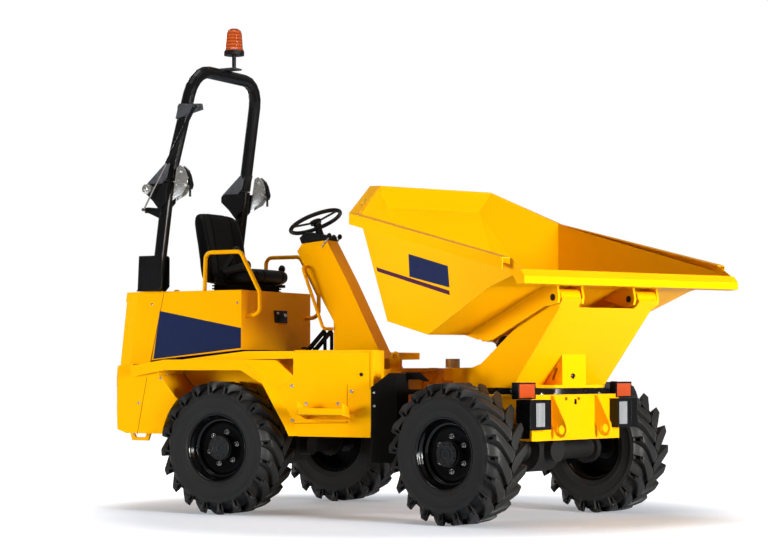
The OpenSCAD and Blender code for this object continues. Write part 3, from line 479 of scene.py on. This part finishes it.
rim_model = spun(rim_section, 96, "rim", gloss_black, 50)
disc_model = spun(disc_section, 96, "disc", disc_black, 50)
nut_circle, screw_circle = 0.1045, 0.0595                       # radii of the rings of nuts and screws
# each wheel: its half of the machine, its side, how far its nuts and its lugs stand round
wheels = (("rl", REAR, -1, -14, -3), ("rr", REAR, 1, -14, -6),
          ("fl", FRONT, -1, 30, 9), ("fr", FRONT, 1, 30, 2))


def wheel_spot(half, side):
    return half @ Matrix.Translation((0, -half_track * side, roll_radius))


for name, half, side, nuts_at, lugs_at in wheels:
    spot = wheel_spot(half, side) @ (Matrix.Rotation(pi, 4, "Z") if side < 0 else Matrix())
    wheel = join(twin(rim_model), twin(disc_model))
    move(wheel, spot)
    wheel.name = wheel.data.name = "disc_wheel_" + name
    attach(wheel, "wheel_" + name)
    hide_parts("rim_" + name)
    hub = spun(hub_section, 64, "hub", hub_black, 30)
    screws = []
    for k in range(8):
        a = radians(22.5 + 45 * k)
        at = (screw_circle * cos(a), -0.109, screw_circle * sin(a))
        screws.append(barrel(0.0068, 0.008, at, "Y", 6, 0.001, 1, hub_black))
    hub = join(hub, *screws)
    hub.name = hub.data.name = "hub_cover_" + name
    move(hub, spot)
    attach(hub, "wheel_" + name)
    nut = join(barrel(0.0128, 0.018, (0, -0.058, 0), "Y", 6, 0.002, 2, zinc),
               barrel(0.0165, 0.004, (0, -0.049, 0), "Y", 24, 0.0015, 1, zinc),
               barrel(0.0068, 0.012, (0, -0.068, 0), "Y", 16, 0.002, 1, hub_black))
    ring = [spot @ Matrix.Rotation(radians(nuts_at + 60 * k), 4, "Y")
            @ Matrix.Translation((nut_circle, 0, 0)) for k in range(6)]
    copies(nut, ring, "wheel_nuts_" + name, "wheel_" + name)
for o in (rim_model, disc_model):
    bpy.data.objects.remove(o)


# ---- Tyres ----
# Cross-ply industrial tyres with twenty blunt chevron lugs a side, whose ends carry a moulded
# pocket on the sidewall. The carcass is spun from its section; one lug is copied round it.
# the tyre's lighter edge colour is painted highlight, so that the lugs' edges catch light
tyre_rubber = finish("tyre_rubber", (0.0125, 0.0126, 0.0128), (0.019, 0.0188, 0.0184), 0.5, bump=0.0012,
                     grain=180, mottle=6, edge=(0.075, 0.074, 0.072), edge_r=0.003, soft=0.0015, shine=0.22)
# the pockets' floors are near-black rubber: painted shade inside the pockets
pocket_painted_shade = finish("tyre_pocket_painted_shade", (0.0012, 0.0012, 0.0012), (0.002, 0.002, 0.002), 0.7,
                       bump=0.0008, grain=150, shine=0.03)
half_section = [
    (0.195, -0.1), (0.2165, -0.115), (0.218, -0.1275), (0.226, -0.131), (0.228, -0.134), (0.25, -0.14),
    (0.2545, -0.1425), (0.259, -0.1415), (0.3, -0.146), (0.316, -0.1465), (0.319, -0.1485), (0.323, -0.1485),
    (0.326, -0.1468), (0.339, -0.1462), (0.343, -0.145), (0.3455, -0.141), (0.351, -0.134), (0.366, -0.122),
    (0.38, -0.106), (0.3885, -0.085), (0.391, -0.05), (0.3915, 0)]
other_half = [(r, -w) for r, w in half_section[-2::-1]]
carcass_model = spun(half_section + other_half, 80, "carcass", tyre_rubber, 40)


def lug():
    """A lug from the sidewall over the shoulder to the middle; it widens and leads inwards."""
    # stations: width across the tyre, angle ahead, half width, radius of foot and of top
    rows = [(-0.143, 0, 0.0165, 0.332, 0.337), (-0.1482, 0, 0.017, 0.344, 0.347),
            (-0.1495, 0, 0.0175, 0.352, 0.372), (-0.1485, 0.2, 0.0182, 0.36, 0.4),
            (-0.141, 0.7, 0.0195, 0.368, 0.4165), (-0.128, 1.6, 0.022, 0.378, roll_radius),
            (-0.1, 4.4, 0.029, 0.386, roll_radius), (-0.064, 9.0, 0.037, 0.388, 0.422),
            (-0.03, 13.4, 0.044, 0.388, 0.4215), (-0.012, 15.6, 0.046, 0.388, 0.4212)]
    fresh()
    bpy.ops.mesh.primitive_grid_add(x_subdivisions=4, y_subdivisions=len(rows) - 1, size=1)
    o = bpy.context.object
    for i, v in enumerate(o.data.vertices):
        row, col = divmod(i, 5)
        w, ahead, half, foot, top = rows[row]
        foot_w, top_w = half * 1.12, half * 0.96
        lead, r = ((-foot_w, foot), (-top_w, top), (0, top), (top_w, top), (foot_w, foot))[col]
        if row == len(rows) - 1 and col == 2:
            w += 0.026
        b = radians(ahead) + lead / 0.4
        v.co = (r * cos(b), w, -r * sin(b))
    bpy.ops.object.mode_set(mode="EDIT")
    bm = bmesh.from_edit_mesh(o.data)
    bm.verts.ensure_lookup_table()
    last = 5 * (len(rows) - 1)
    for ring in ([0, 1, 2, 3, 4], [last, last + 1, last + 2, last + 3, last + 4]):
        bm.faces.new([bm.verts[k] for k in ring])
    bmesh.update_edit_mesh(o.data)
    bpy.ops.mesh.select_all(action="SELECT")
    bpy.ops.mesh.normals_make_consistent(inside=False)
    # a deep pocket in the blunt end on the sidewall
    bpy.ops.mesh.select_all(action="DESELECT")
    bm = bmesh.from_edit_mesh(o.data)
    for f in bm.faces:
        c = f.calc_center_median()
        if c.y < -0.144 and abs(c.z) < 0.0095 and 0.345 < c.x < 0.41 and len(f.verts) == 4:
            f.select_set(True)
    bmesh.update_edit_mesh(o.data)
    bpy.ops.mesh.inset(thickness=0.0105)
    bpy.ops.transform.translate(value=(-0.002, 0.013, 0))
    bpy.ops.object.mode_set(mode="OBJECT")
    soften(0.0018, 2, 28)
    o = keep("lug", tyre_rubber, 30)
    # the pocket floors get the darker rubber, a painted shade
    o.data.materials.append(pocket_painted_shade)
    for f in o.data.polygons:
        if -0.1385 < f.center.y < -0.13 and abs(f.center.z) < 0.009 and 0.35 < f.center.x < 0.4:
            f.material_index = 1
    return o


lug_model = lug()
far_lug = move(twin(lug_model), Matrix.Scale(-1, 4, (0, 1, 0)))
far_lug.data.flip_normals()
lugs_a_side = 20
lug_pitch = 360 / lugs_a_side                                   # the far side's lugs stand half a pitch on
for name, half, side, nuts_at, lugs_at in wheels:
    spot = wheel_spot(half, side) @ Matrix.Rotation(radians(lugs_at), 4, "Y")
    tyre = twin(carcass_model)
    lugs = [move(twin(model), Matrix.Rotation(radians(start + lug_pitch * k), 4, "Y"))
            for model, start in ((lug_model, 0), (far_lug, lug_pitch / 2)) for k in range(lugs_a_side)]
    tyre = join(tyre, *lugs)
    move(tyre, spot)
    tyre.name = tyre.data.name = "lugged_tyre_" + name
    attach(tyre, "wheel_" + name)
    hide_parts("tyre_" + name)
for o in (carcass_model, lug_model, far_lug):
    bpy.data.objects.remove(o)


# ---- Seat ----
# A suspension seat in black vinyl: a moulded cushion and a tall back, each with a rolled
# edge and sewn panels, on rubber bellows.
vinyl = finish("seat_vinyl", (0.002, 0.002, 0.0022), (0.004, 0.004, 0.0043), 0.34, bump=0.0012, grain=420,
               mottle=8, shine=0.14)
seam, seam_w, seam_deep = 0.12, 0.014, 0.006                    # from the middle; half its width; depth


def pad(name, node, profile, width, body, wing=0.0):
    """A cushion lofted from its side outline, crowned across, with two sewn channels."""
    fresh()
    n = len(profile)
    bpy.ops.mesh.primitive_circle_add(vertices=n, fill_type="NGON")
    o = bpy.context.object
    for v, (x, z) in zip(o.data.vertices, profile):
        v.co = (x, -width / 2, z)
    bpy.ops.object.mode_set(mode="EDIT")
    bpy.ops.mesh.select_all(action="SELECT")
    steps = 8
    for k in range(steps):
        bpy.ops.mesh.extrude_region_move(TRANSFORM_OT_translate={"value": (0, width / steps, 0)})
    bpy.ops.mesh.select_all(action="SELECT")
    bpy.ops.mesh.normals_make_consistent(inside=False)
    bpy.ops.object.mode_set(mode="OBJECT")
    low = Vector((min(p[0] for p in profile), 0, min(p[1] for p in profile)))
    high = Vector((max(p[0] for p in profile), 0, max(p[1] for p in profile)))
    mid = (low + high) / 2
    for v in o.data.vertices:
        t = abs(v.co.y) / (width / 2)
        k = 1 - 0.16 * max(0, t - 0.45) ** 1.5
        v.co.x = mid.x + (v.co.x - mid.x) * k
        v.co.z = mid.z + (v.co.z - mid.z) * k
        v.co.x += wing * max(0, t - 0.5) * 2 * max(0, 1 - abs(v.co.z - mid.z) / (high.z - low.z) * 1.6)
    s = o.modifiers.new("soft", "SUBSURF")
    s.levels = s.render_levels = 3
    bpy.ops.object.modifier_apply(modifier="soft")
    for v in o.data.vertices:
        d = abs(abs(v.co.y) - seam)
        if d < seam_w:
            v.co -= v.normal * seam_deep * (1 - d / seam_w) ** 0.7
    keep(name, vinyl, 60)
    move(o, REAR)
    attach(o, body)
    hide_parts(node)


cushion_side = [
    (-0.482, 1.498), (-0.4, 1.496), (-0.25, 1.496), (-0.15, 1.497), (-0.112, 1.53), (-0.114, 1.575),
    (-0.15, 1.603), (-0.25, 1.598), (-0.36, 1.582), (-0.45, 1.582), (-0.487, 1.565)]
pad("seat_cushion_pad", "seat_cushion", cushion_side, 0.47, "seat_hood")
back_side = [
    (-0.52, 1.5), (-0.478, 1.51), (-0.486, 1.6), (-0.498, 1.69), (-0.514, 1.78), (-0.53, 1.87),
    (-0.548, 1.955), (-0.575, 1.99), (-0.612, 1.992), (-0.637, 1.96), (-0.622, 1.83), (-0.602, 1.7),
    (-0.58, 1.6), (-0.562, 1.51)]
pad("seat_back_pad", "seat_back", back_side, 0.49, "seat_hood", 0.035)


# ---- Foot steps ----
# A folded step with an open trough hangs on each side box below the driver's door way;
# its front end is drawn in so that the turning wheel flap stays clear of it.
def plate(outline, low, high, material, across="Y", edge=0.0012):
    """A flat plate cut to an outline, between two distances on the axis across it."""
    fresh()
    bpy.ops.mesh.primitive_circle_add(vertices=len(outline), fill_type="NGON")
    o = bpy.context.object
    axis = "XYZ".index(across)
    for v, (a, b) in zip(o.data.vertices, outline):
        c = [a, b]
        c.insert(axis, low)
        v.co = c
    bpy.ops.object.mode_set(mode="EDIT")
    bpy.ops.mesh.select_all(action="SELECT")
    thick = [(high - low) if k == axis else 0 for k in range(3)]
    bpy.ops.mesh.extrude_region_move(TRANSFORM_OT_translate={"value": thick})
    bpy.ops.mesh.select_all(action="SELECT")
    bpy.ops.mesh.normals_make_consistent(inside=False)
    bpy.ops.object.mode_set(mode="OBJECT")
    if edge:
        soften(edge, 2)
    return keep("plate", material)


def hand(o, name, body, half=REAR):
    """A finished piece given its name, its place on that half and its body."""
    o.name = o.data.name = name
    move(o, half)
    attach(o, body)
    return o


MIRROR = Matrix.Scale(-1, 4, (0, 1, 0))
for side, name in ((-1, "right"), (1, "left")):
    tread = plate([(0.651, -0.975), (0.972, -0.975), (0.976, -0.885), (1.0, -0.872), (1.008, -0.8615),
                   (0.651, -0.8615)], 0.64, 0.646, yellow_paint, "Z")
    front = plate([(0.651, 0.6405), (0.972, 0.6405), (0.972, 0.684), (0.651, 0.684)],
                  -0.975, -0.97, yellow_paint)
    rear_end = plate([(-0.975, 0.647), (-0.975, 0.723), (-0.93, 0.712), (-0.8615, 0.664), (-0.8615, 0.61)],
                     0.651, 0.656, yellow_paint, "X")
    fore_end = plate([(-0.975, 0.647), (-0.975, 0.712), (-0.93, 0.706), (-0.885, 0.68), (-0.885, 0.62)],
                     0.968, 0.973, yellow_paint, "X")
    bottom = plate([(0.657, -0.97), (0.966, -0.97), (0.966, -0.862), (0.657, -0.862)],
                   0.6105, 0.6155, yellow_paint, "Z")
    step = join(tread, front, rear_end, fore_end, bottom)
    if side > 0:
        move(step, MIRROR)
        step.data.flip_normals()
    hand(step, "foot_step_" + name, "rear_frame")


# ---- Bolts ----
# Zinc hexagon screws with washers where sheets are fixed; a few on the flaps and
# the nose bar. Each is set against its sheet and turned to face outwards.
def screws(name, places, body, slot, half=REAR, r=0.0085, material=zinc, both=False):
    """Hexagon heads at points (x, y, z) with the way each one faces."""
    head = join(barrel(r, 0.007, (0, 0, 0.006), "Z", 6, 0.0012, 2, material),
                barrel(r * 1.35, 0.0025, (0, 0, 0.0013), "Z", 20, 0.0008, 1, material))
    spots = []
    for at, way in places:
        for k in ((1, -1) if both else (1,)):
            turn = Vector((way[0], way[1] * k, way[2])).to_track_quat("Z", "Y").to_matrix().to_4x4()
            spots.append(half @ Matrix.Translation((at[0], at[1] * k, at[2])) @ turn)
    return copies(head, spots, name, body)


OUT, FORE = (0, -1, 0), (1, 0, 0)
box_screws = [((x, -0.86, z), OUT)
              for x, z in ((0.547, 0.818), (0.971, 0.788), (0.65, 0.709), (0.876, 0.711), (0.55, 0.604))]
screws("side_box_bolts", box_screws, "rear_frame", "rod_chrome", both=True)
tail_screws = [((-0.614, -0.86, 0.703), OUT), ((-0.444, -0.86, 0.864), OUT),
               ((-0.46, -0.763, 0.89), FORE), ((-0.727, -0.758, 0.502), OUT)]
screws("tail_bolts", tail_screws, "rear_frame", "rod_chrome", both=True, r=0.007)
screws("box_latch_dots", [((1.041, -0.86, 0.891), OUT)], "rear_frame", "plastic_black", both=True, r=0.009,
       material=moulded_black)
bar_screws = [((0.29, y, z), FORE) for y, z in ((-0.166, 0.774), (-0.3, 0.774), (0.3, 0.774))]
screws("nose_bar_bolts", bar_screws, "front_frame", "rod_chrome", FRONT, r=0.0075)
cover_screws = [((x, -0.448, z), OUT) for x, z in ((-0.12, 1.36), (-0.8, 1.36))]
screws("cover_bolts", cover_screws, "seat_hood", "rod_chrome", both=True, r=0.006)
flap_screws = [((-0.545, -0.875, 0.781), OUT), ((-0.545, -0.875, 0.70), OUT)]
screws("flap_bolts", flap_screws, "front_frame", "rod_chrome", FRONT, both=True, r=0.006)


# ---- Slots, shades and seams ----
# Thin dark films: painted shade in the two slots of the nose plate, painted shade along one
# edge of each head lamp's lens where its housing shades it, and the seams between the panels on the machine's
# two sides.
slot_painted_shade = finish("deep_shadow_black", (0.002, 0.0015, 0.001), (0.004, 0.003, 0.002), 0.8, shine=0.02)


def upright(y, half_w, low, high, back, front, material):
    """An upright rectangle of film facing forwards, centred at a distance across."""
    outline = [(y - half_w, low), (y + half_w, low), (y + half_w, high), (y - half_w, high)]
    return plate(outline, back, front, material, "X", 0)


# each slot is a dark film: painted shade standing for the hole
for y in (-0.222, -0.012):
    slot = upright(y, 0.011, 0.71, 0.742, 0.334, 0.3355, slot_painted_shade)
    hand(slot, "nose_slot_painted_shade", "front_frame", FRONT)
# a satin black film over one edge of each head lamp's lens: painted shade where the housing shades the lens
for y in (-0.389, 0.479):
    shade = upright(y, 0.021, 0.575, 0.725, 0.3965, 0.3985, satin_black)
    hand(shade, "lamp_edge_painted_shade", "front_frame", FRONT)
seam_shadow = finish("seam_shadow", (0.25, 0.07, 0.0), (0.3, 0.09, 0.0), 0.8, shine=0.02)
line_w = 0.0016                                                 # half the width of a seam's line
for side, name in ((-1, "right"), (1, "left")):
    low, high = sorted((0.8602 * side, 0.8608 * side))
    lines = [plate([(x - line_w, b), (x + line_w, b), (x2 + line_w, t), (x2 - line_w, t)],
                   low, high, seam_shadow, "Y", 0)
             for x, b, x2, t in ((0.942, 0.594, 0.942, 0.832), (1.102, 0.8, 1.102, 1.035),
                                 (-0.63, 0.48, -0.552, 0.872))]
    lines.append(plate([(0.564, 0.585), (0.943, 0.5925), (0.943, 0.5955), (0.564, 0.588)],
                       low, high, seam_shadow, "Y", 0))
    hand(join(*lines), "side_seams_" + name, "rear_frame")


# ---- Decals ----
# Blank navy plates where the machine carries its plates, a narrow plum stripe under
# the skip's, and the hood's latch. Nothing is written on them.
navy = finish("navy_decal_film", (0.004, 0.01, 0.05), (0.007, 0.015, 0.065), 0.3, bump=0.0001, shine=0.25)
plum = finish("plum_stripe_film", (0.05, 0.008, 0.03), (0.07, 0.012, 0.04), 0.35, bump=0.0001, shine=0.2)
for side, name in ((-1, "right"), (1, "left")):
    low, high = sorted((0.4485 * side, 0.4495 * side))
    cover_plate = plate([(-0.737, 1.314), (-0.092, 1.194), (-0.092, 1.062), (-0.788, 0.991)],
                        low, high, navy, "Y", 0)
    hand(cover_plate, "cover_decal_" + name, "seat_hood")
skip_back = part["skip"].matrix_world.inverted()


def on_skip(x, z, side):
    """A film's outer and inner face over a point of the skip's side, just clear of the paint."""
    start = skip_back @ (SWUNG @ Vector((x, 1.6 * side, z)))
    way = (skip_back.to_3x3() @ SWUNG.to_3x3()) @ Vector((0, -side, 0))
    at, normal = part["skip"].ray_cast(start, way)[1:3]
    at = part["skip"].matrix_world @ at
    normal = (part["skip"].matrix_world.to_3x3() @ normal).normalized()
    return at + normal * 0.0012, at + normal * 0.0003


def film(corners, side, name, material):
    """A flat film laid over four corners of the skip's side."""
    fresh()
    bpy.ops.mesh.primitive_cube_add(size=1)
    o = bpy.context.object
    pairs = [on_skip(x, z, side) for x, z in corners]
    # the cube's vertices come in pairs, inner then outer, with the last two corners swapped
    for k, corner in enumerate((0, 1, 3, 2)):
        o.data.vertices[2 * k].co = pairs[corner][1]
        o.data.vertices[2 * k + 1].co = pairs[corner][0]
    bpy.ops.object.mode_set(mode="EDIT")
    bpy.ops.mesh.select_all(action="SELECT")
    bpy.ops.mesh.normals_make_consistent(inside=False)
    bpy.ops.object.mode_set(mode="OBJECT")
    hand(keep("film", material, 0), name, "skip", Matrix())


for side, name in ((-1, "right"), (1, "left")):
    film([(-0.224, 1.628), (0.177, 1.538), (0.16, 1.411), (-0.252, 1.49)], side, "skip_decal_" + name, navy)
    film([(-0.612, 1.563), (0.152, 1.392), (0.15, 1.366), (-0.608, 1.537)], side, "skip_stripe_" + name, plum)
latch = join(plate([(-0.045, 1.32), (0.125, 1.32), (0.13, 1.235), (-0.03, 1.235)],
                   -0.0885, -0.082, moulded_black, "X", 0.003),
             plate([(0.0, 1.305), (0.1, 1.305), (0.104, 1.248), (0.01, 1.248)],
                   -0.082, -0.075, satin_black, "X", 0.004),
             plate([(0.06, 1.298), (0.094, 1.298), (0.096, 1.278), (0.062, 1.278)],
                   -0.075, -0.064, zinc, "X", 0.003),
             barrel(0.009, 0.012, (-0.07, -0.02, 1.3), "X", 16, 0.002, 1, zinc))
hand(latch, "hood_latch", "seat_hood")


# ---- Roll hoop's hinge and latch ----
# Each leg folds on a thick zinc pin behind it and is locked in front by a pair of bright
# latch plates with a drop pin on a black strap.
for side, name in ((-1, "right"), (1, "left")):
    pivot = (-0.772, side * 0.545, 2.13)
    hinge = join(barrel(0.034, 0.05, pivot, "Y", 32, 0.004, 2, zinc),
                 barrel(0.016, 0.07, pivot, "Y", 6, 0.003, 2, zinc))
    hand(hinge, "hoop_hinge_pin_" + name, "rear_frame")
    latch = []
    for y in (0.462, 0.512):
        low, high = sorted((side * y, side * (y + 0.006)))
        latch.append(plate([(-0.595, 2.05), (-0.52, 2.085), (-0.478, 2.14), (-0.47, 2.2), (-0.49, 2.25),
                            (-0.53, 2.285), (-0.56, 2.27), (-0.575, 2.18)], low, high, zinc, "Y", 0.0015))
    latch.append(barrel(0.011, 0.09, (-0.495, side * 0.49, 2.15), "Y", 16, 0.003, 1, zinc))
    latch.append(barrel(0.009, 0.085, (-0.525, side * 0.49, 2.24), "Y", 16, 0.003, 1, zinc))
    hand(join(*latch), "hoop_latch_" + name, "rear_frame")
    low, high = sorted((side * 0.472, side * 0.508))
    band = plate([(-0.512, 2.27), (-0.468, 2.22), (-0.45, 2.15), (-0.462, 2.118), (-0.472, 2.15),
                  (-0.486, 2.21)], low, high, satin_black, "Y", 0.004)
    strap = join(band, barrel(0.008, 0.055, (-0.47, side * 0.49, 2.1), "Z", 12, 0.002, 1, satin_black))
    hand(strap, "hoop_latch_strap_" + name, "rear_frame")


# ---- Driver's small controls ----
# A folding arm rest on a rubber boot at the right of the seat, a knobbed lever at its
# left, three short levers beside the steering column and the pedals' black bracket.
def rod(start, end, r, material, sides=16):
    """A round rod between two points."""
    a, b = Vector(start), Vector(end)
    o = barrel(r, (b - a).length, (0, 0, 0), "Z", sides, r * 0.3, 2, material)
    return move(o, Matrix.Translation((a + b) / 2) @ (b - a).to_track_quat("Z", "Y").to_matrix().to_4x4())


def knob(at, r, material):
    fresh()
    bpy.ops.mesh.primitive_uv_sphere_add(segments=20, ring_count=12, radius=r, location=at)
    bpy.context.object.scale = (1, 1, 1.15)
    return keep("knob", material, 60)


# the boot's folds are rings that get narrower upwards, with thinner rings between them
boot = [barrel(0.044 - 0.003 * k, 0.012, (-0.36 + 0.004 * k, -0.285, 1.496 + 0.017 * k),
               "Z", 28, 0.004, 2, flap_rubber) for k in range(6)]
boot += [barrel(0.03 - 0.002 * k, 0.012, (-0.358 + 0.004 * k, -0.285, 1.504 + 0.017 * k),
                "Z", 28, 0.002, 1, flap_rubber) for k in range(5)]
hand(join(*boot), "arm_rest_boot", "seat_hood")
arm = join(rod((-0.34, -0.285, 1.575), (-0.245, -0.285, 1.7), 0.02, moulded_black),
           rod((-0.33, -0.285, 1.58), (-0.16, -0.285, 1.612), 0.026, moulded_black),
           knob((-0.235, -0.285, 1.712), 0.03, moulded_black),
           knob((-0.155, -0.285, 1.613), 0.032, moulded_black))
hand(arm, "arm_rest", "seat_hood")
lever = join(rod((-0.23, 0.285, 1.5), (-0.225, 0.285, 1.6), 0.008, zinc),
             knob((-0.224, 0.285, 1.615), 0.024, moulded_black),
             barrel(0.03, 0.02, (-0.23, 0.285, 1.495), "Z", 24, 0.004, 2, moulded_black))
hand(lever, "seat_side_lever", "seat_hood")
for k, (y, lean) in enumerate(((-0.075, 0.035), (0.075, 0.03), (0.1, -0.03))):
    lever = join(rod((0.305, y, 1.735), (0.325 + lean, y, 1.8), 0.006, zinc, 12),
                 knob((0.327 + lean, y, 1.81), 0.016, moulded_black))
    hand(lever, "column_lever_%d" % (k + 1), "rear_frame")
cheek = [(0.096, 1.05), (0.244, 1.2), (0.262, 1.166), (0.262, 1.05), (0.238, 1.05), (0.238, 1.15),
         (0.142, 1.05)]
foot = [(0.06, 0.07), (0.06, 0.16), (0.11, 0.16), (0.11, 0.07)]
bracket = join(plate(cheek, 0.06, 0.068, satin_black), plate(cheek, 0.15, 0.158, satin_black),
               plate(foot, 1.06, 1.072, satin_black, "Z", 0.003))
hand(bracket, "pedal_bracket", "rear_frame")


# ---- Turntable's stud ----
# A round black stud stands on the front face of the turntable's gusset, a little to the
# right of its middle. It turns with the skip.
stud = barrel(0.015, 0.012, (0.4385, -0.045, 0.884), "X", 24, 0.003, 2, satin_black)
hand(stud, "gusset_stud", "turntable", SWUNG)


# ---- Size ----
# The box round all the shown pieces, the floor left out, is measured.
# Nothing of the model depends on it.
low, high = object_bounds()
